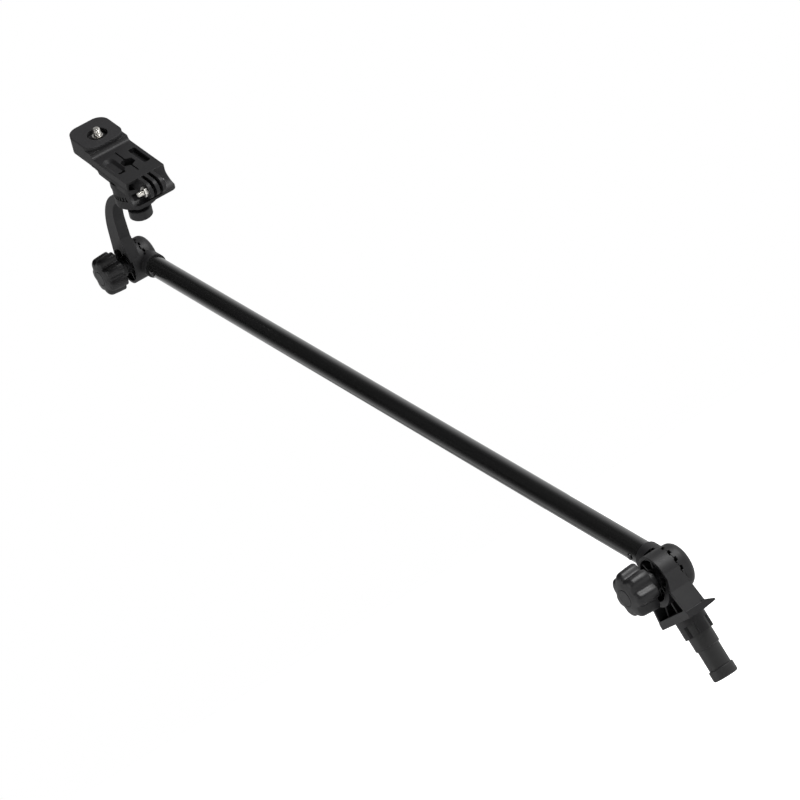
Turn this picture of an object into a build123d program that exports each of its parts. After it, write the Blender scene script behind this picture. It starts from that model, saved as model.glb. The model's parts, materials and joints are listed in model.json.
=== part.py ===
"""Camera boom arm: a long tube between two lockable tilt joints.

The lower joint stands on a spigot, the upper joint carries a curved arm with a
panning camera platform.  Units are millimetres.  The origin lies on the spigot
axis inside its full-size part, ORIGIN_DROP below the flange underside.  +Z runs
up the spigot axis, +Y points to the two star knobs, and the boom leans towards
+X.  Every piece is drawn with the flange underside at z = 0 and raised at the end.
"""
from math import cos, pi, sin
import os

from build123d import *

# ---------------------------------------------------------------- rest pose
BOOM_LEAN = 53.2            # boom from vertical, towards +X
PLATFORM_LEAN = 44.3        # platform normal from vertical, towards -X

# ---------------------------------------------------------------- boom
PIVOT_HEIGHT = 34.6         # lower pivot above the flange underside
BOOM_LENGTH = 752.0         # pivot to pivot
TUBE_R = 9.0
TUBE_WALL = 1.2
TUBE_Y = -7.0               # tube axis, just behind the toothed faces
SOCKET_MOUTH = 27.0         # from each pivot
SOCKET_WALL = 1.7
SOCKET_DEPTH = 6.0
PLUG_DEPTH = 19.0           # how far a hub's inner plug reaches past its socket
RIVET_AT = 36.5             # from each pivot
RIVET_R = 1.6

# ---------------------------------------------------------------- tilt joints
HUB_R = 18.0
JOINT_FACE_Y = -5.5         # toothed face of the bracket
JOINT_GAP = 0.4             # between the toothed faces, knob slackened
RING_FRONT_Y = 8.2          # open face of the ribbed rings
COLLAR_GAP = 3.5            # from a ring's rim to the tube collar
HUB_BODY_R = 17.6
HUB_BACK_Y = -17.4
TOOTH_COUNT = 15
TOOTH_SLOT = 3.4
TOOTH_DEPTH = 0.9            # into the ring
TOOTH_REACH = 1.8            # into the hub
RIM_WALL = 2.3
BACK_WALL = 2.6
RIB = 1.8
BOSS_R = 8.0
BOLT_R = 3.0
FIT = 0.05                  # running clearance round a bolt
SLACK = 0.3                 # open clearance between moving faces
BOLT_HEAD_AF = 10.0
BOLT_HEAD_H = 4.2
HEAD_POCKET = 5.5

# ---------------------------------------------------------------- base
ORIGIN_DROP = 19.6          # from the flange underside to the origin
FLANGE_X = 51.0
FLANGE_T = 5.0
FLANGE_Y = 12.0
SHOULDER_HALF = 20.4        # bracket half width at its shoulders
SHOULDER_DROP = 13.0        # shoulders below the pivot
FOOT_HALF = 25.0            # bracket half width at the flange
NECK_R = 11.5
NECK_H = 5.0
LUG_END = 14.0
SPIGOT_R = 9.55
SPIGOT_NECK_R = 9.3         # inside the lugs
SPIGOT_STEP = 25.3
SPIGOT_THIN_R = 8.55
CAP_TOP = 41.5
CAP_R = 9.75
CAP_END = 49.5

# ---------------------------------------------------------------- star knobs
KNOB_R = 18.6
KNOB_LOBES = 7
KNOB_BASE_Y = 10.8
KNOB_SKIRT_Y = 17.0         # where the plain neck ends and the lobes begin
KNOB_TOP_Y = 35.0
KNOB_SKIRT_R = 9.0
KNOB_WASHER_T = 2.4
KNOB_DRAFT = 1.0            # the lobes shrink by this towards the face
KNOB_ROUND = 5.0            # rounding of the lobes at the face
KNOB_HOLLOW_R = 4.2
KNOB_CAP_R = 6.6

# ---------------------------------------------------------------- arm
PAN_X = -40.3               # pan axis from the upper pivot, arm frame
DECK_Z = 124.2              # deck top above the upper pivot, arm frame
ARM_T = 10.4
ARM_Y = 4.3                 # middle of the curved bar
ARM_OUTER_X = 15.0          # outer edge at the ring
ARM_OUTER_R = 62.0
ARM_OUTER_Z = 30.0          # where the outer edge starts to turn
ARM_INNER_X = -3.0
ARM_INNER_R = 31.0
ARM_INNER_Z = 49.2          # where the inner edge starts to turn
DISC_R = 18.5
DISC_T = 8.0
PAN_BOSS_R = 8.0

# ---------------------------------------------------------------- platform
PLATFORM_W = 38.0
FLARE = 2.2                 # side walls lean out by this at the lip
LIP_CORNER = 6.0
PAD_X0, PAD_X1 = 29.0, 69.0
PAD_TOP = 7.8
PAD_T = 1.5                 # rubber facing
PAD_BOTTOM = -8.5
PAD_CORNER = 11.0
DECK_FRONT = -27.0
WALL_BOTTOM = -8.8          # lower edge of the side walls
TRAY_BOTTOM = -13.5
BODY_BOTTOM = -19.5
PAN_BASE_R = 19.3
PAN_BOLT_SEAT = -9.0        # floor of the bolt's recess in the deck
PAN_HEAD_H = 3.0
PAN_RING_R = 18.6
PAN_RING_T = 8.5
PAN_GAP = 0.6
PAN_TEETH = 40
STUD_X = 46.0
STUD_R = 3.175
STUD_CORE_R = 3.0           # below the pad's face
STUD_TOP = 13.4
STUD_RECESS = 4.5           # depth of the recess round the stud
STUD_BOSS_R = 4.4
CLIP_DEPTH = 2.6            # of the clip's underside below the pad
CLIP_T = 1.3
CLIP_R = 4.8
STUD_RECESS_R = 9.0
SCOOP_R = 11.5
SCOOP_TOP = -6.5
FINGER_T = 3.05
FINGER_PITCH = 6.1
FINGER_R = 7.5
FINGER_REACH = 11.2
FINGER_BORE_R = 2.5
PAN_KNOB_R = 10.3
PAN_KNOB_T = 9.0


def plate(face, y_low, y_high):
    """Extrude an X-Z face from y_low to y_high."""
    return extrude(Plane.XZ.offset(-y_high) * face, y_high - y_low, dir=(0, -1, 0))


def rod_y(radius, y_low, y_high, x=0.0, z=0.0):
    """A cylinder along Y."""
    return Pos(x, (y_low + y_high) / 2, z) * Rot(90, 0, 0) * Cylinder(radius, y_high - y_low)


def rod_z(radius, z_low, z_high, x=0.0, y=0.0):
    """A cylinder along Z."""
    return Pos(x, y, (z_low + z_high) / 2) * Cylinder(radius, z_high - z_low)


def box(x_low, x_high, y_low, y_high, z_low, z_high):
    """A box between its six faces."""
    centre = Pos((x_low + x_high) / 2, (y_low + y_high) / 2, (z_low + z_high) / 2)
    return centre * Box(x_high - x_low, y_high - y_low, z_high - z_low)


def hex_y(across_flats, y_low, y_high):
    """A hexagonal prism along Y."""
    return plate(RegularPolygon(across_flats / 2, 6, major_radius=False), y_low, y_high)


def hex_z(across_flats, z_low, z_high):
    """A hexagonal prism along Z."""
    face = RegularPolygon(across_flats / 2, 6, major_radius=False)
    return extrude(Pos(0, 0, z_low) * face, z_high - z_low)


LOWER = Pos(0, 0, PIVOT_HEIGHT)
BOOM = LOWER * Rot(0, BOOM_LEAN, 0)
BOOM_TOP = BOOM * Pos(0, 0, BOOM_LENGTH) * Rot(0, 180, 0)
ARM = BOOM * Pos(0, 0, BOOM_LENGTH) * Rot(0, -BOOM_LEAN - PLATFORM_LEAN, 0)
DECK = ARM * Pos(PAN_X, 0, DECK_Z)
UPPER_KNOB_TURN = Rot(0, 20, 0)


def tooth_slots():
    """Radial grooves that run across the seam between a joint ring and its hub."""
    slot = box(HUB_R - 5.5, HUB_R + 3, JOINT_FACE_Y - JOINT_GAP - TOOTH_REACH,
               JOINT_FACE_Y + TOOTH_DEPTH, -TOOTH_SLOT / 2, TOOTH_SLOT / 2)
    pitch = 360 / TOOTH_COUNT
    return [Rot(0, i * pitch, 0) * slot for i in range(TOOTH_COUNT)]


def ribs(angles, reach):
    """Radial ribs of a joint ring, from the boss outwards."""
    rib = box(0, reach, JOINT_FACE_Y, RING_FRONT_Y - 1.5, -RIB / 2, RIB / 2)
    return [Rot(0, -angle, 0) * rib for angle in angles]


def ribbed_ring(outline, front, rib_angles, rib_reach):
    """A joint ring: a walled outline, open and ribbed towards +Y, toothed towards -Y."""
    pocket = offset(outline, amount=-RIM_WALL)
    body = plate(outline, JOINT_FACE_Y, front)
    body -= plate(pocket, JOINT_FACE_Y + BACK_WALL, front + 1)
    webs = plate(pocket, JOINT_FACE_Y, RING_FRONT_Y - 1.5) & Part() + ribs(rib_angles, rib_reach)
    body += webs
    body += rod_y(BOSS_R, JOINT_FACE_Y, RING_FRONT_Y)
    body -= tooth_slots()
    return body - rod_y(BOLT_R + FIT, JOINT_FACE_Y - 1, front + 1)


# ---------------------------------------------------------------- base pieces
def base_outline():
    """The base bracket seen along Y: a round top, shoulders, and a wider foot."""
    foot = FLANGE_T - 1 - PIVOT_HEIGHT
    right = [(HUB_R, 0), (SHOULDER_HALF, -SHOULDER_DROP), (FOOT_HALF, foot)]
    left = [(-x, z) for x, z in reversed(right)]
    return Circle(HUB_R) + Polygon(*right, *left, align=None)


def front_slope():
    """Waste in front of the base bracket's ring, down to its shoulders."""
    start = PIVOT_HEIGHT - 4
    shoulder = PIVOT_HEIGHT - SHOULDER_DROP
    section = Polygon((RING_FRONT_Y, 90), (RING_FRONT_Y, start), (FLANGE_Y, shoulder),
                      (30, shoulder), (30, 90), align=None)
    return extrude(Plane.YZ.offset(-40) * section, 80, dir=(1, 0, 0))


def flange():
    """The flange: flat in front, a thin tapering wing at the back."""
    section = Polygon((FLANGE_Y, 0), (FLANGE_Y, FLANGE_T), (-2.0, FLANGE_T), (-3.0, FLANGE_T + 1.6),
                      (-FLANGE_Y - 0.4, 2.6), (-FLANGE_Y - 0.4, 1.2), (-1, 0), align=None)
    return extrude(Plane.YZ.offset(-FLANGE_X / 2) * section, FLANGE_X, dir=(1, 0, 0))


def base_bracket():
    """Bracket, flange and lugged neck in one moulding."""
    body = LOWER * ribbed_ring(base_outline(), FLANGE_Y, (0, 60, 120, 180, 240, 270, 300), 45)
    body -= front_slope()
    body += flange()
    neck = rod_z(NECK_R, -NECK_H, 0)
    lug_ring = rod_z(NECK_R, -LUG_END, 0) - rod_z(SPIGOT_NECK_R + 0.02, -LUG_END - 1, -NECK_H)
    lugs = box(-NECK_R, NECK_R, -4.2, 4.2, -LUG_END, 0) + box(-4.2, 4.2, -NECK_R, NECK_R, -LUG_END, 0)
    body += neck + (lug_ring & lugs)
    return body - rod_z(2.6, -NECK_H - 1, FLANGE_T + 4)


def spigot():
    """Stepped plug that drops into the socket of a stand."""
    body = chamfer(rod_z(SPIGOT_R, -SPIGOT_STEP, -LUG_END).edges().sort_by(Axis.Z)[0], 0.8)
    body += rod_z(SPIGOT_NECK_R, -LUG_END, -NECK_H)
    body += rod_z(SPIGOT_THIN_R, -CAP_TOP, -SPIGOT_STEP)
    return body - rod_z(2.6, -CAP_TOP - 1, 1)


def spigot_end_cap():
    """Slightly domed collar that closes the spigot."""
    body = rod_z(CAP_R, -CAP_END, -CAP_TOP)
    body = fillet(body.edges().sort_by(Axis.Z)[0], 1.4)
    return chamfer(body.edges().sort_by(Axis.Z)[-1], 0.4) - rod_z(5.0, -CAP_TOP - 3.0, -CAP_TOP + 1)


def spigot_screw():
    """Steel screw that holds the spigot to the bracket from below."""
    return rod_z(2.5, -CAP_TOP, FLANGE_T) + rod_z(4.6, -CAP_TOP - 2.8, -CAP_TOP)


# ---------------------------------------------------------------- joint pieces
def star_outline():
    """Knob outline: round lobes on a disc with shallow waists between them."""
    lobe_r = KNOB_R * 0.27
    ring = KNOB_R - lobe_r
    face = Circle(ring + 0.8)
    for i in range(KNOB_LOBES):
        angle = 2 * pi * i / KNOB_LOBES
        face += Pos(ring * cos(angle), ring * sin(angle)) * Circle(lobe_r)
    for i in range(KNOB_LOBES):
        angle = 2 * pi * (i + 0.5) / KNOB_LOBES
        face -= Pos(KNOB_R * 1.05 * cos(angle), KNOB_R * 1.05 * sin(angle)) * Circle(KNOB_HOLLOW_R)
    return face


def star_knob():
    """Grip of a clamping knob: lobes with a rounded rim, on a plain neck."""
    depth = KNOB_TOP_Y - KNOB_SKIRT_Y
    envelope = Cone(KNOB_R + 0.1, KNOB_R + 0.1 - KNOB_DRAFT, depth)
    envelope = fillet(envelope.edges().sort_by(Axis.Z)[-1], KNOB_ROUND)
    middle = (KNOB_TOP_Y + KNOB_SKIRT_Y) / 2
    grip = plate(star_outline(), KNOB_SKIRT_Y, KNOB_TOP_Y)
    grip &= Pos(0, middle, 0) * Rot(-90, 0, 0) * envelope
    grip += rod_y(KNOB_SKIRT_R, KNOB_BASE_Y, KNOB_SKIRT_Y)
    grip -= rod_y(5.0 + 0.02, KNOB_BASE_Y - 1, KNOB_BASE_Y + 12)
    grip -= rod_y(BOLT_R + 0.5, KNOB_BASE_Y, KNOB_TOP_Y - 3.0)
    return grip - rod_y(KNOB_CAP_R + 0.1, KNOB_TOP_Y - 1.2, KNOB_TOP_Y + 1)


def knob_cap():
    """Flat cover in the knob's face."""
    return chamfer(rod_y(KNOB_CAP_R, KNOB_TOP_Y - 1.2, KNOB_TOP_Y + 0.2).edges().sort_by(Axis.Y)[-1], 0.3)


def knob_nut():
    """Brass insert that runs on the pivot bolt."""
    return rod_y(5.0, KNOB_BASE_Y, KNOB_BASE_Y + 12) - rod_y(BOLT_R + FIT, 0, 40)


def knob_washer():
    """Steel washer on the bracket's boss."""
    return rod_y(7.5, RING_FRONT_Y, RING_FRONT_Y + KNOB_WASHER_T) - rod_y(BOLT_R + SLACK, 0, 40)


def pivot_bolt():
    """Hexagon bolt, its head held in the hub."""
    head = hex_y(BOLT_HEAD_AF, HUB_BACK_Y + HEAD_POCKET - BOLT_HEAD_H, HUB_BACK_Y + HEAD_POCKET)
    shank = rod_y(BOLT_R, HUB_BACK_Y + HEAD_POCKET, KNOB_TOP_Y - 4.5)
    return head + chamfer(shank.edges().sort_by(Axis.Y)[-1], 0.6)


def hub():
    """Tilt hub with the tube socket along +Z."""
    face_y = JOINT_FACE_Y - JOINT_GAP
    body = rod_y(HUB_BODY_R, HUB_BACK_Y, face_y)
    body = fillet(body.edges().sort_by(Axis.Y)[0], 6.0)
    socket = rod_z(TUBE_R + SOCKET_WALL, 8, SOCKET_MOUTH, y=TUBE_Y)
    body += fillet(socket.edges().sort_by(Axis.Z)[0], 5.0)
    bottom = SOCKET_MOUTH - SOCKET_DEPTH
    body -= rod_z(TUBE_R + 0.02, bottom, SOCKET_MOUTH + 1, y=TUBE_Y)
    body += rod_z(TUBE_R - TUBE_WALL - 0.02, bottom, SOCKET_MOUTH + PLUG_DEPTH, y=TUBE_Y)
    body -= rod_y(HUB_R + COLLAR_GAP, face_y, 30)
    body -= tooth_slots()
    body -= hex_y(BOLT_HEAD_AF + 0.3, HUB_BACK_Y - 10, HUB_BACK_Y + HEAD_POCKET)
    body -= rivet_hole(RIVET_AT)
    return body - rod_y(BOLT_R + 0.02, HUB_BACK_Y - 1, 5)


def rivet():
    """Rivet through the tube wall into a hub's plug, its head towards +Y."""
    surface = TUBE_Y + TUBE_R
    pin = rod_y(RIVET_R, surface - 6, surface, z=RIVET_AT)
    head = rod_y(RIVET_R + 1.0, surface - 0.2, surface + 0.9, z=RIVET_AT)
    return pin + fillet(head.edges().sort_by(Axis.Y)[-1], 0.7)


def rivet_hole(along):
    """Clearance for a rivet."""
    return rod_y(RIVET_R + 0.02, TUBE_Y + TUBE_R - 6, TUBE_Y + TUBE_R + 2, z=along)


def head_seat(along):
    """Flat spot under a rivet head."""
    return rod_y(RIVET_R + 1.02, TUBE_Y + TUBE_R - 0.2, TUBE_Y + TUBE_R + 2, z=along)


def boom_tube():
    """The tube, seated in both sockets."""
    low = SOCKET_MOUTH - SOCKET_DEPTH + 0.5
    high = BOOM_LENGTH - low
    body = rod_z(TUBE_R, low, high, y=TUBE_Y) - rod_z(TUBE_R - TUBE_WALL, low - 1, high + 1, y=TUBE_Y)
    for along in (RIVET_AT, BOOM_LENGTH - RIVET_AT):
        body -= rivet_hole(along)
        body -= head_seat(along)
    return body


# ---------------------------------------------------------------- arm pieces
DISC_TOP = DECK_Z + BODY_BOTTOM - PAN_RING_T - PAN_GAP


def arm_curve():
    """Outline of the curved bar between the ring and the pan disc, seen along Y."""
    outer_turn = (ARM_OUTER_X - ARM_OUTER_R, ARM_OUTER_Z + ARM_OUTER_R)
    inner_turn = (ARM_INNER_X - ARM_INNER_R, ARM_INNER_Z + ARM_INNER_R)
    path = [
        Line((-14.5, 10), (ARM_INNER_X - 2.0, ARM_OUTER_Z)),
        Line((ARM_INNER_X - 2.0, ARM_OUTER_Z), (ARM_INNER_X, ARM_INNER_Z)),
        RadiusArc((ARM_INNER_X, ARM_INNER_Z), inner_turn, -ARM_INNER_R),
        Line(inner_turn, outer_turn),
        RadiusArc(outer_turn, (ARM_OUTER_X, ARM_OUTER_Z), ARM_OUTER_R),
        Line((ARM_OUTER_X, ARM_OUTER_Z), (ARM_OUTER_X, 0)),
        Line((ARM_OUTER_X, 0), (-14.5, 10)),
    ]
    return make_face(path)


def curved_arm():
    """Arm from the upper tilt joint to the pan disc."""
    ring = ribbed_ring(Circle(HUB_R), RING_FRONT_Y, (0, 60, 120, 180, 240, 300), 30)
    bar = plate(arm_curve(), ARM_Y - ARM_T / 2, ARM_Y + ARM_T / 2)
    bar -= rod_y(HUB_R - RIM_WALL, -20, 20)
    bar -= box(PAN_X - 40, PAN_X, -20, 20, 0, 140)
    disc = rod_z(DISC_R, DISC_TOP - DISC_T, DISC_TOP, x=PAN_X)
    disc += rod_z(PAN_BOSS_R, DECK_Z - 46 + 1.6, DISC_TOP, x=PAN_X)
    body = ring + bar + disc
    body -= box(PAN_X - 60, PAN_X + 60, -30, 30, DISC_TOP, DISC_TOP + 10)
    return body - rod_z(BOLT_R + FIT, 60, 110, x=PAN_X)


# ---------------------------------------------------------------- platform pieces
def finger(y):
    """One mounting finger with its round tip."""
    tip_x = DECK_FRONT - FINGER_REACH
    tip_z = -FINGER_R
    face = Pos(tip_x, tip_z) * Circle(FINGER_R)
    face += Pos((tip_x + DECK_FRONT + 8) / 2, tip_z) * Rectangle(DECK_FRONT + 8 - tip_x, 2 * FINGER_R)
    return plate(face, y - FINGER_T / 2, y + FINGER_T / 2)


def platform_side():
    """Body of the platform seen along Y, with the concave front and its lip."""
    lip_x = DECK_FRONT - SCOOP_R
    lip_z = SCOOP_TOP - SCOOP_R
    path = [
        Line((PAD_X0 + 2, 0), (DECK_FRONT, 0)),
        Line((DECK_FRONT, 0), (DECK_FRONT, SCOOP_TOP)),
        RadiusArc((DECK_FRONT, SCOOP_TOP), (lip_x, lip_z), SCOOP_R),
        Line((lip_x, lip_z), (lip_x, lip_z - 2.0)),
        Line((lip_x, lip_z - 2.0), (lip_x + 4, lip_z - 2.4)),
        Line((lip_x + 4, lip_z - 2.4), (lip_x + 20, TRAY_BOTTOM - 1)),
        Line((lip_x + 20, TRAY_BOTTOM - 1), (PAD_X0 - 7, TRAY_BOTTOM)),
        Line((PAD_X0 - 7, TRAY_BOTTOM), (PAD_X0 - 4, PAD_BOTTOM)),
        Line((PAD_X0 - 4, PAD_BOTTOM), (PAD_X0 + 2, PAD_BOTTOM)),
        Line((PAD_X0 + 2, PAD_BOTTOM), (PAD_X0 + 2, 0)),
    ]
    return make_face(path)


def platform_body():
    """The long body, its side walls leaning out towards the lip."""
    half = PLATFORM_W / 2
    low = SCOOP_TOP - SCOOP_R - 3
    section = Polygon((-half, 1), (-half, SCOOP_TOP), (-half - FLARE, low), (half + FLARE, low),
                      (half, SCOOP_TOP), (half, 1), align=None)
    body = plate(platform_side(), -half - FLARE, half + FLARE)
    body &= extrude(Plane.YZ.offset(-60) * section, 120, dir=(1, 0, 0))
    lip_x = DECK_FRONT - SCOOP_R
    plan = Pos(lip_x + 50, 0) * RectangleRounded(100, PLATFORM_W + 2 * FLARE, LIP_CORNER)
    body &= extrude(Pos(0, 0, -40) * plan, 60)
    for side in (-1, 1):
        y_in = side * (half - 0.6)
        y_out = side * (half + 4)
        low_y, high_y = min(y_in, y_out), max(y_in, y_out)
        body -= box(DECK_FRONT + 4, PAD_X0, low_y, high_y, TRAY_BOTTOM - 4, WALL_BOTTOM)
        y_groove = side * (half - 2.2)
        low_y, high_y = min(y_groove, y_out), max(y_groove, y_out)
        body -= box(DECK_FRONT + 4, PAD_X0, low_y, high_y, WALL_BOTTOM - 0.9, WALL_BOTTOM)
    return body


def pad_outline(inset):
    """Rounded square of the camera pad."""
    side_x = PAD_X1 - PAD_X0 - 2 * inset
    side_y = PLATFORM_W - 2 * inset
    return Pos((PAD_X0 + PAD_X1) / 2, 0) * RectangleRounded(side_x, side_y, PAD_CORNER - inset)


def pad_cove():
    """Concave blend from the deck up to the pad block."""
    radius = 4.0
    section = Polygon((PAD_X0 - radius, 0), (PAD_X0 + 9, 0), (PAD_X0 + 9, radius),
                      (PAD_X0, radius), align=None)
    section -= Pos(PAD_X0 - radius, radius) * Circle(radius)
    return plate(section, -PLATFORM_W / 2, PLATFORM_W / 2)


def finger_cavity():
    """Deep pocket beside the fingers, on the screw's free side."""
    return box(DECK_FRONT - 20, DECK_FRONT + 16, 7.7, PLATFORM_W / 2 - 1.8, -16.0, -2.2)


def deck_recesses():
    """Screw recess, sighting grooves, side slot and dished slot in the deck."""
    cuts = hex_z(BOLT_HEAD_AF + 1.4, PAN_BOLT_SEAT, 1)
    cuts += box(-17, 21, -0.6, 0.6, -1.4, 1)
    slot = RectangleRounded(27, 6.8, 2.0)
    cuts += extrude(Pos(1.5, -12.4, -5.0) * slot, 7)
    dish = extrude(Pos(4.0, 11.6, 0.0) * RectangleRounded(26, 11.0, 5.4), -2.4, taper=48)
    notch = extrude(Pos(-7.6, 11.8, -5.0) * RectangleRounded(6.0, 6.8, 1.4), 7)
    return cuts + dish + notch


def camera_platform():
    """Platform moulding: pad block, deck, scooped front and three fingers."""
    half = PLATFORM_W / 2
    block = extrude(Pos(0, 0, PAD_BOTTOM) * pad_outline(0), PAD_TOP - PAD_T - PAD_BOTTOM)
    body = platform_body() + block + pad_cove()
    body += box(PAD_X0, PAD_X0 + PAD_CORNER, -half, half, PAD_BOTTOM, 0)
    body += rod_z(PAN_BASE_R, BODY_BOTTOM, TRAY_BOTTOM + 1)
    body -= finger_cavity()
    for i in (-1, 0, 1):
        body += finger(i * FINGER_PITCH)
    body -= rod_y(FINGER_BORE_R + FIT, -12, 12, DECK_FRONT - FINGER_REACH, -FINGER_R)
    body -= deck_recesses()
    body -= rod_z(BOLT_R + 0.02, BODY_BOTTOM - 1, 0)
    body -= rod_z(STUD_RECESS_R, PAD_TOP - STUD_RECESS, PAD_TOP, x=STUD_X)
    body += rod_z(STUD_BOSS_R, PAD_TOP - STUD_RECESS - 1, PAD_TOP - CLIP_DEPTH, x=STUD_X)
    return body - rod_z(STUD_CORE_R + FIT, PAD_BOTTOM - 1, PAD_TOP, x=STUD_X)


def camera_pad():
    """Rubber facing of the pad."""
    face = pad_outline(0) - Pos(STUD_X, 0) * Circle(STUD_RECESS_R)
    body = extrude(Pos(0, 0, PAD_TOP - PAD_T) * face, PAD_T)
    return chamfer(body.faces().sort_by(Axis.Z)[-1].outer_wire().edges(), 0.4)


def pan_ring():
    """Serrated ring under the platform."""
    top = BODY_BOTTOM
    body = rod_z(PAN_RING_R, top - PAN_RING_T, top) - rod_z(BOLT_R + 0.02, top - 20, top + 1)
    notch = box(PAN_RING_R - 1.2, PAN_RING_R + 1, -0.75, 0.75, top - PAN_RING_T - 1, top - 4.5)
    return body - [Rot(0, 0, i * 360 / PAN_TEETH) * notch for i in range(PAN_TEETH)]


def pan_bolt():
    """Bolt from the deck recess to the pan knob."""
    head = hex_z(BOLT_HEAD_AF, PAN_BOLT_SEAT, PAN_BOLT_SEAT + PAN_HEAD_H)
    return head + rod_z(BOLT_R, -56.5, PAN_BOLT_SEAT)


def pan_knob():
    """Small clamping knob under the arm."""
    body = rod_z(PAN_KNOB_R, -46 - PAN_KNOB_T, -46)
    body = chamfer(body.edges(), 0.7)
    body -= rod_z(4.52, -46 - PAN_KNOB_T + 2, -45)
    return body - rod_z(BOLT_R + 0.4, -60, -45)


def pan_nut():
    """Brass insert of the pan knob."""
    return rod_z(4.5, -46 - PAN_KNOB_T + 2, -46) - rod_z(BOLT_R + FIT, -60, -40)


def pan_washer():
    """Steel washer between the arm's boss and the pan knob."""
    return rod_z(6.5, -45.7, -44.7) - rod_z(BOLT_R + SLACK, -50, -40)


def camera_stud():
    """Tripod-thread stud with its thumb disc under the pad."""
    body = chamfer(rod_z(STUD_R, PAD_TOP, STUD_TOP, x=STUD_X).edges().sort_by(Axis.Z)[-1], 0.6)
    body += rod_z(STUD_CORE_R, PAD_BOTTOM - SLACK, PAD_TOP, x=STUD_X)
    disc = chamfer(rod_z(10.0, PAD_BOTTOM - SLACK - 4.5, PAD_BOTTOM - SLACK, x=STUD_X).edges(), 0.5)
    slot = box(STUD_X - 7, STUD_X + 7, -0.8, 0.8, PAD_BOTTOM - 6, PAD_BOTTOM - SLACK - 2.5)
    return body + disc - slot


def stud_clip():
    """Retaining clip round the stud in the pad recess."""
    floor = PAD_TOP - CLIP_DEPTH
    ring = rod_z(CLIP_R, floor, floor + CLIP_T, x=STUD_X)
    ring -= rod_z(STUD_R + SLACK, 0, 10, x=STUD_X)
    return ring - box(STUD_X - 0.8, STUD_X + 0.8, -8, 0, 0, 10)


def action_screw():
    """Screw through the three fingers."""
    x, z = DECK_FRONT - FINGER_REACH, -FINGER_R
    shank = chamfer(rod_y(FINGER_BORE_R, -10, 16.0, x, z).edges().sort_by(Axis.Y)[-1], 0.5)
    head = chamfer(rod_y(4.2, -10.2, -7.9, x, z).edges().sort_by(Axis.Y)[0], 0.6)
    return shank + head


def action_nut():
    """Hexagon nut on the end of the finger screw."""
    x, z = DECK_FRONT - FINGER_REACH, -FINGER_R
    nut = Pos(x, 0, z) * hex_y(8.0, 7.8, 10.6)
    return nut - rod_y(FINGER_BORE_R + 0.02, 0, 20, x, z)


BASE_PIECES = {
    "base_bracket": base_bracket,
    "spigot": spigot,
    "spigot_end_cap": spigot_end_cap,
    "spigot_screw": spigot_screw,
}
JOINT_PIECES = {
    "knob": star_knob,
    "knob_cap": knob_cap,
    "knob_nut": knob_nut,
    "knob_washer": knob_washer,
}
BOOM_PIECES = {
    "hub": hub,
    "rivet": rivet,
    "pivot_bolt": pivot_bolt,
}
DECK_PIECES = {
    "camera_platform": camera_platform,
    "camera_pad": camera_pad,
    "pan_ring": pan_ring,
    "pan_bolt": pan_bolt,
    "pan_washer": pan_washer,
    "pan_knob": pan_knob,
    "pan_knob_nut": pan_nut,
    "camera_stud": camera_stud,
    "stud_clip": stud_clip,
    "action_screw": action_screw,
    "action_nut": action_nut,
}


def build():
    """Every piece at its place in the rest pose."""
    pieces = {name: make() for name, make in BASE_PIECES.items()}
    for end, place in (("lower", LOWER), ("upper", ARM * UPPER_KNOB_TURN)):
        for name, make in JOINT_PIECES.items():
            pieces[f"{end}_{name}"] = place * make()
    pieces["boom_tube"] = BOOM * boom_tube()
    for end, place in (("lower", BOOM), ("upper", BOOM_TOP)):
        for name, make in BOOM_PIECES.items():
            pieces[f"{end}_{name}"] = place * make()
    pieces["curved_arm"] = ARM * curved_arm()
    for name, make in DECK_PIECES.items():
        pieces[name] = DECK * make()
    return {name: Pos(0, 0, ORIGIN_DROP) * piece for name, piece in pieces.items()}


os.makedirs("parts", exist_ok=True)
for name, piece in build().items():
    export_step(piece, f"parts/{name}.step")
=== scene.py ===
"""Looks of the camera boom arm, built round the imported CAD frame.

Lengths are metres, or millimetres times MM, in the frame of the CAD model.
Places come from the frame's joints and from the boxes of its nodes.
"""

import json
from math import cos, pi, radians, sin

import bpy
from mathutils import Matrix, Vector


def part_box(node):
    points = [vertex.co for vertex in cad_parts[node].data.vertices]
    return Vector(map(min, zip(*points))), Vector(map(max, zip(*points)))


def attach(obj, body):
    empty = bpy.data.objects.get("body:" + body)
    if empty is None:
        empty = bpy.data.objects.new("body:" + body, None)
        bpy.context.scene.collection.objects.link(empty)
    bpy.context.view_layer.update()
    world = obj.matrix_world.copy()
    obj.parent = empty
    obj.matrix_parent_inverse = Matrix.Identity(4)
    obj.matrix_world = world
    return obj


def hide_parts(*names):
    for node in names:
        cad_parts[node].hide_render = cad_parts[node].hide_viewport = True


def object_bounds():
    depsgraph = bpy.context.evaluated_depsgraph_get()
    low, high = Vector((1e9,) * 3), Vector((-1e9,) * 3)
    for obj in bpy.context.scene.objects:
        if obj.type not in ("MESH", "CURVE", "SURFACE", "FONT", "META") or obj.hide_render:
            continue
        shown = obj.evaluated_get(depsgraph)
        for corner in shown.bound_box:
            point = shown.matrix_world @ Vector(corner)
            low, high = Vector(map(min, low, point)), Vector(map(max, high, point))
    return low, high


MM = 0.001
UP_Y = Vector((0.0, 1.0, 0.0))

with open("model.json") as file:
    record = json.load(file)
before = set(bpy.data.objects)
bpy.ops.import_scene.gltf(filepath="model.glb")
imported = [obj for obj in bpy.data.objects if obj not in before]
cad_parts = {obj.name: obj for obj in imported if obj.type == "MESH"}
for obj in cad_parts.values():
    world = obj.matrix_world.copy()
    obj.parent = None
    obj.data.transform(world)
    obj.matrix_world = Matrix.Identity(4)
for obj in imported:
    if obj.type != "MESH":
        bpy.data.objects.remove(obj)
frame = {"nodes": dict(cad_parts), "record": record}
cad_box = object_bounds()
nodes = frame["nodes"]
joints = {j["name"]: j for j in frame["record"]["behaviour"]["joints"]}


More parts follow.
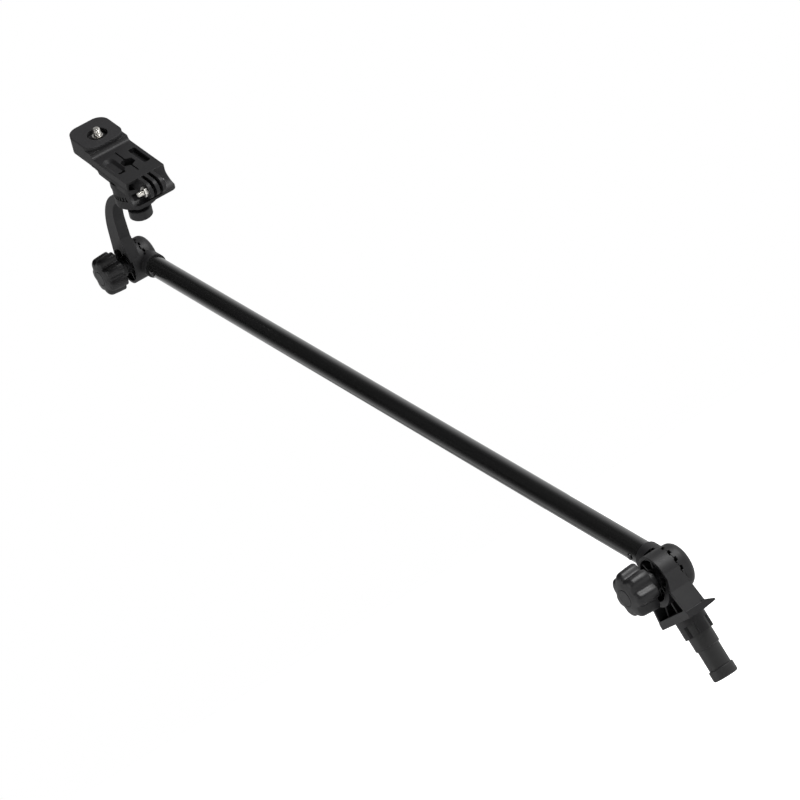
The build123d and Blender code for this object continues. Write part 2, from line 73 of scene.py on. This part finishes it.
def joint_point(name):
    """A joint's point in the row frame."""
    return Vector(joints[name]["pos_m"])


LOWER = joint_point("base_tilt")
UPPER = joint_point("arm_tilt")
BOOM_AXIS = (UPPER - LOWER).normalized()
PAN_AXIS = Vector(joints["platform_pan"]["axis"]).normalized()


# ---------------------------------------------------------------- camera
CAMERA_TARGET = LOWER + Vector((0.300, -0.0211, 0.2140))
CAMERA_DISTANCE = 2.7588
CAMERA_AZIMUTH = 157.79         # of the camera seen from the target, from +X
CAMERA_HEIGHT = -2.48           # elevation of the camera, degrees
CAMERA_ROLL = -31.57
CAMERA_LENS = 157.5


def camera_axes():
    """Right, up and back directions of the camera."""
    azimuth, height = radians(CAMERA_AZIMUTH), radians(CAMERA_HEIGHT)
    back = Vector((cos(height) * cos(azimuth), cos(height) * sin(azimuth),
                   sin(height)))
    right = Vector((0, 0, 1)).cross(back).normalized()
    up = back.cross(right)
    roll = Matrix.Rotation(radians(CAMERA_ROLL), 3, back)
    return roll @ right, roll @ up, back


RIGHT, UP, BACK = camera_axes()


def make_camera():
    """The camera, at the reference viewing angle."""
    data = bpy.data.cameras.new("camera")
    data.lens = CAMERA_LENS
    data.sensor_width = 36.0
    data.clip_start, data.clip_end = 0.1, 50.0
    camera = bpy.data.objects.new("camera", data)
    turn = Matrix((RIGHT, UP, BACK)).transposed()
    place_at = Matrix.Translation(CAMERA_TARGET + BACK * CAMERA_DISTANCE)
    camera.matrix_world = place_at @ turn.to_4x4()
    bpy.context.scene.collection.objects.link(camera)
    bpy.context.scene.camera = camera


make_camera()


# ---------------------------------------------------------------- node helpers
class Nodes:
    """A small builder for one material's node tree."""

    def __init__(self, name):
        self.material = bpy.data.materials.new(name)
        self.material.use_nodes = True
        self.tree = self.material.node_tree
        self.shader = self.tree.nodes["Principled BSDF"]

    def new(self, kind, **settings):
        """A node of that kind, with its properties set."""
        node = self.tree.nodes.new(kind)
        for key, value in settings.items():
            setattr(node, key, value)
        return node

    def link(self, source, target):
        """Joins an output socket to an input socket."""
        self.tree.links.new(source, target)

    def coords(self, scale=(1, 1, 1), along=None):
        """Object coordinates, with Z turned onto a direction and each axis scaled."""
        source = self.new("ShaderNodeTexCoord").outputs["Object"]
        if along is not None:
            turn = self.new("ShaderNodeMapping")
            euler = along.to_track_quat("Z", "Y").inverted().to_euler()
            turn.inputs["Rotation"].default_value = euler
            self.link(source, turn.inputs["Vector"])
            source = turn.outputs["Vector"]
        stretch = self.new("ShaderNodeMapping")
        stretch.inputs["Scale"].default_value = scale
        self.link(source, stretch.inputs["Vector"])
        return stretch.outputs["Vector"]

    def noise(self, vector, scale, detail=3.0, roughness=0.5):
        """A noise texture's value."""
        node = self.new("ShaderNodeTexNoise")
        node.inputs["Scale"].default_value = scale
        node.inputs["Detail"].default_value = detail
        node.inputs["Roughness"].default_value = roughness
        self.link(vector, node.inputs["Vector"])
        return node.outputs["Fac"]

    def ramp(self, value, low, high, out_low, out_high):
        """Maps a range of a value onto another range."""
        node = self.new("ShaderNodeMapRange")
        for socket, number in zip(("From Min", "From Max", "To Min", "To Max"),
                                  (low, high, out_low, out_high)):
            node.inputs[socket].default_value = number
        self.link(value, node.inputs["Value"])
        return node.outputs["Result"]

    def blend(self, factor, first, second):
        """Mixes two colours."""
        node = self.new("ShaderNodeMix", data_type="RGBA")
        self.link(factor, node.inputs["Factor"])
        for index, colour in ((6, first), (7, second)):
            if isinstance(colour, tuple):
                node.inputs[index].default_value = (*colour, 1.0)
            else:
                self.link(colour, node.inputs[index])
        return node.outputs[2]

    def edges(self, radius):
        """Rounded-edge normal, and a mask that is high on edges."""
        soft = self.new("ShaderNodeBevel", samples=6)
        soft.inputs["Radius"].default_value = radius
        geometry = self.new("ShaderNodeNewGeometry")
        dot = self.new("ShaderNodeVectorMath", operation="DOT_PRODUCT")
        self.link(soft.outputs["Normal"], dot.inputs[0])
        self.link(geometry.outputs["Normal"], dot.inputs[1])
        mask = self.ramp(dot.outputs["Value"], 0.72, 0.98, 1.0, 0.0)
        return soft.outputs["Normal"], mask

    def bump(self, height, strength, distance, normal=None):
        """A bump from a height value."""
        node = self.new("ShaderNodeBump")
        node.inputs["Strength"].default_value = strength
        node.inputs["Distance"].default_value = distance
        self.link(height, node.inputs["Height"])
        if normal is not None:
            self.link(normal, node.inputs["Normal"])
        return node.outputs["Normal"]


def grey(value, tint=(1.0, 1.0, 1.0)):
    """A grey, slightly tinted."""
    return tuple(value * t for t in tint)


PLASTIC_TINT = (1.0, 0.975, 1.05)


def moulded(name, dark, light, gloss, grain, grain_height, edge_radius,
            tint=PLASTIC_TINT):
    """Moulded black plastic: spark-eroded grain, faint mottling, and a painted highlight on the
    edges, patchy along them.
    """
    n = Nodes(name)
    base = n.coords()
    mottle = n.noise(base, 60.0, 4.0, 0.6)
    fine = n.noise(base, grain, 3.0, 0.65)
    normal, edge = n.edges(edge_radius)
    colour = n.blend(n.ramp(mottle, 0.3, 0.7, 0.0, 1.0),
                     grey(dark, tint), grey(light, tint))
    speck = n.ramp(fine, 0.62, 0.78, 0.0, 0.35)
    colour = n.blend(speck, colour, grey(light * 1.8, tint))
    # painted highlight: the edges are made lighter in colour, broken into patches by noise
    patchy_edge_highlight = n.ramp(n.noise(base, 420.0, 2.0), 0.35, 0.65, 0.15, 0.6)
    mask = n.new("ShaderNodeMath", operation="MULTIPLY")
    n.link(edge, mask.inputs[0])
    n.link(patchy_edge_highlight, mask.inputs[1])
    colour = n.blend(mask.outputs[0], colour, grey(light * 4.0, tint))
    n.link(colour, n.shader.inputs["Base Color"])
    n.link(n.ramp(fine, 0.3, 0.7, gloss - 0.06, gloss + 0.08),
           n.shader.inputs["Roughness"])
    n.link(n.bump(fine, 0.9, grain_height, normal), n.shader.inputs["Normal"])
    n.shader.inputs["Specular IOR Level"].default_value = 0.4
    return n.material


def turned(name, dark, light, gloss, axis, pitch=0.35 * MM):
    """Turned plastic: fine rings round the axis."""
    n = Nodes(name)
    rings = n.noise(n.coords((20, 20, 1 / pitch), axis), 1.0, 2.0, 0.6)
    fine = n.noise(n.coords(), 2600.0, 2.0)
    normal, edge = n.edges(0.4 * MM)
    colour = n.blend(n.ramp(rings, 0.35, 0.65, 0.0, 1.0), grey(dark), grey(light))
    # painted highlight: the edges are made lighter in colour
    colour = n.blend(n.ramp(edge, 0.0, 1.0, 0.0, 0.5), colour, grey(light * 2.0))
    n.link(colour, n.shader.inputs["Base Color"])
    n.link(n.ramp(rings, 0.3, 0.7, gloss - 0.07, gloss + 0.07),
           n.shader.inputs["Roughness"])
    height = n.new("ShaderNodeMath", operation="ADD")
    n.link(rings, height.inputs[0])
    n.link(fine, height.inputs[1])
    n.link(n.bump(height.outputs[0], 0.5, 0.02 * MM, normal), n.shader.inputs["Normal"])
    return n.material


def gloss_tube(name):
    """Gloss black tube with faint draw lines and a few dust-fine scuffs."""
    n = Nodes(name)
    lines = n.noise(n.coords((900, 900, 8), BOOM_AXIS), 1.0, 3.0, 0.6)
    scuffs = n.noise(n.coords((160, 160, 30), BOOM_AXIS), 1.0, 5.0, 0.7)
    normal, _ = n.edges(0.3 * MM)
    n.link(n.blend(n.ramp(lines, 0.3, 0.7, 0.0, 1.0), grey(0.010), grey(0.017)),
           n.shader.inputs["Base Color"])
    rough = n.new("ShaderNodeMath", operation="ADD")
    n.link(n.ramp(scuffs, 0.45, 0.8, 0.12, 0.24), rough.inputs[0])
    n.link(n.ramp(lines, 0.3, 0.7, 0.0, 0.03), rough.inputs[1])
    n.link(rough.outputs[0], n.shader.inputs["Roughness"])
    n.link(n.bump(lines, 0.35, 0.01 * MM, normal), n.shader.inputs["Normal"])
    n.shader.inputs["Coat Weight"].default_value = 0.25
    n.shader.inputs["Coat Roughness"].default_value = 0.12
    return n.material


def metal(name, colour, gloss, axis, streak=0.25):
    """Machined or plated metal with fine tool lines round its axis."""
    n = Nodes(name)
    lines = n.noise(n.coords((120, 120, 5200), axis), 1.0, 2.0, 0.6)
    stain = n.noise(n.coords(), 240.0, 4.0, 0.65)
    normal, edge = n.edges(0.15 * MM)
    dull = tuple(c * (1 - streak) for c in colour)
    tone = n.blend(n.ramp(stain, 0.35, 0.7, 0.0, 1.0), colour, dull)
    # painted highlight: the edges are made lighter in colour
    edge_highlight_colour = tuple(min(1.0, c * 1.2) for c in colour)
    tone = n.blend(n.ramp(edge, 0.0, 1.0, 0.0, 0.6), tone, edge_highlight_colour)
    n.link(tone, n.shader.inputs["Base Color"])
    n.link(n.ramp(stain, 0.3, 0.75, gloss - 0.05, gloss + 0.12),
           n.shader.inputs["Roughness"])
    n.link(n.bump(lines, 0.3, 0.008 * MM, normal), n.shader.inputs["Normal"])
    n.shader.inputs["Metallic"].default_value = 1.0
    return n.material


Z_AXIS = Vector((0, 0, 1))
MATERIALS = {
    "nylon": moulded("nylon", 0.0105, 0.0155, 0.52, 1900.0, 0.05 * MM, 0.5 * MM),
    "nylon_turned": turned("nylon_turned", 0.0120, 0.0175, 0.48, Z_AXIS),
    "knob_nylon": moulded("knob_nylon", 0.0100, 0.0145, 0.42, 2400.0, 0.018 * MM, 0.6 * MM),
    "pad_rubber": moulded("pad_rubber", 0.0190, 0.0245, 0.74, 1500.0, 0.06 * MM, 0.4 * MM),
    "tube_black": gloss_tube("tube_black"),
    "rivet_black": metal("rivet_black", (0.05, 0.05, 0.052), 0.32, UP_Y),
    "bright_steel": metal("bright_steel", (0.96, 0.94, 0.89), 0.27, PAN_AXIS, 0.06),
    "steel": metal("steel", (0.10, 0.10, 0.105), 0.36, UP_Y),
    "brass": metal("brass", (0.50, 0.33, 0.13), 0.38, UP_Y),
}


def dress_nodes():
    """Gives every CAD node the material of its slot."""
    slots = {part["node"]: part["material_slot"] for part in frame["record"]["subparts"]}
    for name, node in nodes.items():
        node.data.materials.clear()
        node.data.materials.append(MATERIALS[slots[name]])


dress_nodes()


# ---------------------------------------------------------------- mesh helpers
def add_piece(name, vertices, faces, slot, body, stands_for):
    """A mesh piece that rides a body and stands for a CAD node."""
    mesh = bpy.data.meshes.new(name)
    mesh.from_pydata(vertices, [], faces)
    mesh.validate()
    mesh.materials.append(MATERIALS[slot])
    piece = bpy.data.objects.new(name, mesh)
    bpy.context.scene.collection.objects.link(piece)
    for polygon in mesh.polygons:
        polygon.use_smooth = True
    mesh.set_sharp_from_angle(angle=radians(38))
    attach(piece, body)
    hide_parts(stands_for)
    return piece


def place(origin, axis, start):
    """Matrix from a local frame, Z along the axis and X towards start, to the row frame."""
    z_dir = axis.normalized()
    x_dir = (start - start.dot(z_dir) * z_dir).normalized()
    turn = Matrix((x_dir, z_dir.cross(x_dir), z_dir)).transposed()
    return Matrix.Translation(origin) @ turn.to_4x4()


def lathe(rings, segments, matrix):
    """Closed surface through (height, radius) rings, each end closed to its centre.

    A radius is a number, or a function of the angle round the axis.
    """
    vertices, faces = [], []
    for height, radius in rings:
        for k in range(segments):
            angle = 2 * pi * k / segments
            r = radius(angle) if callable(radius) else radius
            vertices.append(matrix @ Vector((r * cos(angle), r * sin(angle), height)))
    for i in range(len(rings) - 1):
        for k in range(segments):
            a, b = i * segments + k, i * segments + (k + 1) % segments
            faces.append((a, b, b + segments, a + segments))
    for ring, order in ((0, -1), (len(rings) - 1, 1)):
        centre = len(vertices)
        vertices.append(matrix @ Vector((0, 0, rings[ring][0])))
        for k in range(segments):
            a, b = ring * segments + k, ring * segments + (k + 1) % segments
            faces.append((a, b, centre)[::order])
    return vertices, faces


# ---------------------------------------------------------------- star knobs
KNOB_LOBES = 7
KNOB_SEGMENTS = 168             # a whole number for each lobe
KNOB_DOME_STEPS = 9
KNOB_RIM = 18.6 * MM            # radius over the lobes
KNOB_HOLLOW = 3.6 * MM          # depth between two lobes
KNOB_EDGE = 5.4 * MM            # rounding of the lobes' outer edge
KNOB_NECK = 9.0 * MM            # radius of the neck
KNOB_SKIRT_Y = 17.0 * MM        # the Y at which the neck ends and the lobes begin
KNOB_COVER = 6.7 * MM           # radius of the cover's recess
KNOB_INSERT = 5.02 * MM         # radius of the insert's socket
KNOB_BORE = 3.5 * MM            # radius of the bolt's bore


def lobed(radius, depth):
    """Radius of a knob's rim: broad lobes parted by rounded hollows."""
    return lambda angle: radius - depth * ((1 - cos(KNOB_LOBES * angle)) / 2) ** 1.7


def star_knob(name, pivot, first_lobe):
    """Smooth moulded grip on a plain neck: domed lobes round a flat face that holds the cover."""
    low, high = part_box(name)
    base, top = low.y, high.y
    rim, neck, cover = KNOB_RIM, KNOB_NECK, KNOB_COVER
    hollow, edge = KNOB_HOLLOW, KNOB_EDGE
    skirt = KNOB_SKIRT_Y
    insert_end = base + 12 * MM
    rings = [
        # the socket and bore that the insert and the bolt sit in
        (top - 3.0 * MM, KNOB_BORE), (insert_end, KNOB_BORE), (insert_end, KNOB_INSERT),
        (base, KNOB_INSERT),
        # the neck
        (base, neck - 0.5 * MM), (base + 0.4 * MM, neck),
        (skirt - 0.6 * MM, neck), (skirt - 0.1 * MM, neck + 0.5 * MM),
        # the underside and sides of the lobes
        (skirt, 12.0 * MM), (skirt, lobed(rim - 1.2 * MM, hollow)),
        (skirt + 0.35 * MM, lobed(rim - 0.4 * MM, hollow)),
        (skirt + 1.2 * MM, lobed(rim, hollow)),
        (skirt + 7 * MM, lobed(rim - 0.3 * MM, hollow)),
    ]
    for step in range(KNOB_DOME_STEPS + 1):
        part = step / KNOB_DOME_STEPS
        turn = pi / 2 * step / KNOB_DOME_STEPS
        radius = rim - 0.8 * MM - edge * (1 - cos(turn))
        depth = hollow * (1 - 0.75 * part ** 1.5)
        height = top - 0.8 * MM - (edge - 0.8 * MM) * (1 - sin(turn))
        rings.append((height, lobed(radius, depth)))
    rings += [
        # the flat face and the recess of the cover
        (top - 0.25 * MM, lobed(cover + 3.0 * MM, 0.4 * MM)), (top, cover + 1.2 * MM),
        (top, cover + 0.35 * MM), (top - 0.2 * MM, cover), (top - 1.2 * MM, cover),
        (top - 1.2 * MM, 4.0 * MM),
    ]
    matrix = place(Vector((pivot.x, 0.0, pivot.z)), UP_Y, first_lobe)
    vertices, faces = lathe(rings, KNOB_SEGMENTS, matrix)
    return add_piece(name + "_grip", vertices, faces, "knob_nylon", name, name)


star_knob("lower_knob", LOWER, Vector((1, 0, 0)))
star_knob("upper_knob", UPPER, Vector((1, 0, -0.36)))


# ---------------------------------------------------------------- screws
def threaded(major, pitch, depth, start, end, tip):
    """Rings of a thread: the radius follows a helix and runs out at the tip."""
    steps = 10
    count = int((end - start) / pitch * steps)
    rings = []
    for i in range(count + 1):
        height = start + (end - start) * i / count
        limit = major - max(0.0, height - (end - tip)) * 0.9

        def radius(angle, height=height, limit=limit):
            phase = (height / pitch - angle / (2 * pi)) % 1.0
            groove = max(0.0, 1 - abs(phase - 0.5) / 0.42)
            return min(limit, major - depth * groove)
        rings.append((height, radius))
    return rings


STUD_RADIUS = 3.175 * MM
STUD_DISC_RIM = 10 * MM
STUD_KNURLS = 60


def knurled(angle):
    """Radius of the thumb disc's knurled rim."""
    return STUD_DISC_RIM - 0.22 * MM * (1 - cos(STUD_KNURLS * angle)) / 2


def camera_stud():
    """Tripod screw with a knurled thumb disc."""
    point = joint_point("stud_spin")
    low, high = -13.3 * MM, 13.4 * MM       # its ends along the axis, from the joint's point
    disc_top = -8.8 * MM
    disc_flat = 9.2 * MM
    rings = [
        # the round recess in the underside of the disc
        (low + 2.0 * MM, 3.2 * MM), (low + 2.0 * MM, 3.4 * MM), (low + 0.2 * MM, 3.5 * MM),
        (low, 3.9 * MM),
        # the disc and the plain shank
        (low, disc_flat), (low + 0.5 * MM, knurled), (disc_top - 0.5 * MM, knurled),
        (disc_top, disc_flat), (disc_top, STUD_RADIUS), (disc_top + 2 * MM, STUD_RADIUS),
    ]
    rings += threaded(STUD_RADIUS, 1.27 * MM, 0.62 * MM, disc_top + 2.2 * MM, high, 0.9 * MM)
    matrix = place(point, PAN_AXIS, UP_Y)
    vertices, faces = lathe(rings, 120, matrix)
    return add_piece("camera_stud_screw", vertices, faces, "bright_steel",
                     "camera_stud", "camera_stud")


def action_screw():
    """Screw through the fingers: black up to its nut, with the thread past the nut bright."""
    point = joint_point("action_screw_spin")
    low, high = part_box("action_screw")
    head, shank = 4.2 * MM, 2.5 * MM
    head_end = low.y + 2.3 * MM
    rings = [
        # the recess in the head, then the head
        (low.y + 1.5 * MM, 1.9 * MM), (low.y + 0.1 * MM, 2.0 * MM), (low.y, 2.2 * MM),
        (low.y, 3.6 * MM), (low.y + 0.5 * MM, head), (head_end, head), (head_end, shank),
    ]
    rings += threaded(shank, 0.8 * MM, 0.42 * MM, head_end + 0.1 * MM, high.y, 0.6 * MM)
    matrix = place(Vector((point.x, 0, point.z)), UP_Y, PAN_AXIS)
    vertices, faces = lathe(rings, 64, matrix)
    piece = add_piece("action_screw_thread", vertices, faces, "bright_steel",
                      "action_screw", "action_screw")
    piece.data.materials.append(MATERIALS["rivet_black"])
    black_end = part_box("action_nut")[1].y + 0.4 * MM
    for polygon in piece.data.polygons:
        if polygon.center.y < black_end:
            polygon.material_index = 1
    return piece


camera_stud()
action_screw()


# ---------------------------------------------------------------- stage and light
SKY_STRENGTH = 0.75
WHITE = (1.0, 1.0, 1.0, 1.0)
FLOOR_HALF = 30.0
FLOOR_GLOW = (0.1, 1.0)         # emission met by other rays, and by camera rays


def make_floor():
    """Pale floor under the spigot."""
    low = cad_box[0].z - 2 * MM
    size = FLOOR_HALF
    mesh = bpy.data.meshes.new("floor")
    corners = [(-size, -size, low), (size, -size, low),
               (size, size, low), (-size, size, low)]
    mesh.from_pydata(corners, [], [(0, 1, 2, 3)])
    n = Nodes("floor")
    n.shader.inputs["Roughness"].default_value = 0.9
    tone = n.noise(n.coords(), 3.0)
    n.link(n.blend(tone, grey(0.90), grey(0.92)), n.shader.inputs["Base Color"])
    n.shader.inputs["Emission Color"].default_value = WHITE
    seen = n.new("ShaderNodeLightPath").outputs["Is Camera Ray"]
    n.link(n.ramp(seen, 0.0, 1.0, *FLOOR_GLOW), n.shader.inputs["Emission Strength"])
    mesh.materials.append(n.material)
    floor = bpy.data.objects.new("floor", mesh)
    bpy.context.scene.collection.objects.link(floor)


def sky_fade(tree, direction, low, high):
    """A fade round a direction: one where the cosine to it is low, zero where it is high."""
    coords = tree.nodes.new("ShaderNodeTexCoord")
    facing = tree.nodes.new("ShaderNodeVectorMath")
    facing.operation = "DOT_PRODUCT"
    facing.inputs[1].default_value = direction
    tree.links.new(coords.outputs["Generated"], facing.inputs[0])
    fade = tree.nodes.new("ShaderNodeMapRange")
    fade.interpolation_type = "SMOOTHSTEP"
    for socket, number in zip(("From Min", "From Max", "To Min", "To Max"),
                              (low, high, 1.0, 0.0)):
        fade.inputs[socket].default_value = number
    tree.links.new(facing.outputs["Value"], fade.inputs["Value"])
    return fade.outputs["Result"]


def sky_math(tree, operation, first, second):
    """A product or maximum of two values of the sky."""
    node = tree.nodes.new("ShaderNodeMath")
    node.operation = operation
    tree.links.new(first, node.inputs[0])
    if isinstance(second, float):
        node.inputs[1].default_value = second
    else:
        tree.links.new(second, node.inputs[1])
    return node.outputs[0]


def make_world():
    """Surroundings that a camera ray sees as plain white.

    For reflections and light they are dark overhead and on the main camera's side,
    so that the gloss black tube stays black.
    """
    world = bpy.data.worlds.new("world")
    bpy.context.scene.world = world
    world.use_nodes = True
    tree = world.node_tree
    background = tree.nodes["Background"]
    across = BACK - BACK.dot(BOOM_AXIS) * BOOM_AXIS
    ceiling = sky_fade(tree, (2 * across - BACK).normalized(), 0.42, 0.90)
    near_side = sky_fade(tree, BACK, 0.05, 0.55)
    lit = sky_math(tree, "MULTIPLY", ceiling, near_side)
    lit = sky_math(tree, "MULTIPLY", lit, SKY_STRENGTH)
    path = tree.nodes.new("ShaderNodeLightPath")
    lit = sky_math(tree, "MAXIMUM", lit, path.outputs["Is Camera Ray"])
    tree.links.new(lit, background.inputs["Strength"])
    background.inputs["Color"].default_value = WHITE


def softbox(name, direction, distance, size, power):
    """A rectangular area light that faces the object."""
    data = bpy.data.lights.new(name, "AREA")
    data.shape = "RECTANGLE"
    data.size, data.size_y = size
    data.energy = power
    lamp = bpy.data.objects.new(name, data)
    aim = direction.normalized()
    lamp.location = CAMERA_TARGET + aim * distance
    lamp.rotation_mode = "QUATERNION"
    lamp.rotation_quaternion = aim.to_track_quat("Z", "Y")
    bpy.context.scene.collection.objects.link(lamp)


make_floor()
make_world()
softbox("key", 0.80 * UP + 0.45 * BACK + 0.10 * RIGHT, 2.2, (0.9, 0.7), 36.0)
softbox("glint", 0.10 * UP + 0.80 * BACK - 0.60 * RIGHT, 2.0, (0.14, 0.14), 2.5)
softbox("side", -0.80 * RIGHT - 0.30 * UP + 0.25 * BACK, 2.2, (0.9, 1.2), 9.0)
softbox("low", -0.92 * UP + 0.02 * BACK - 0.1 * RIGHT, 2.4, (2.0, 0.6), 9.0)

bpy.context.scene.view_settings.view_transform = "Standard"
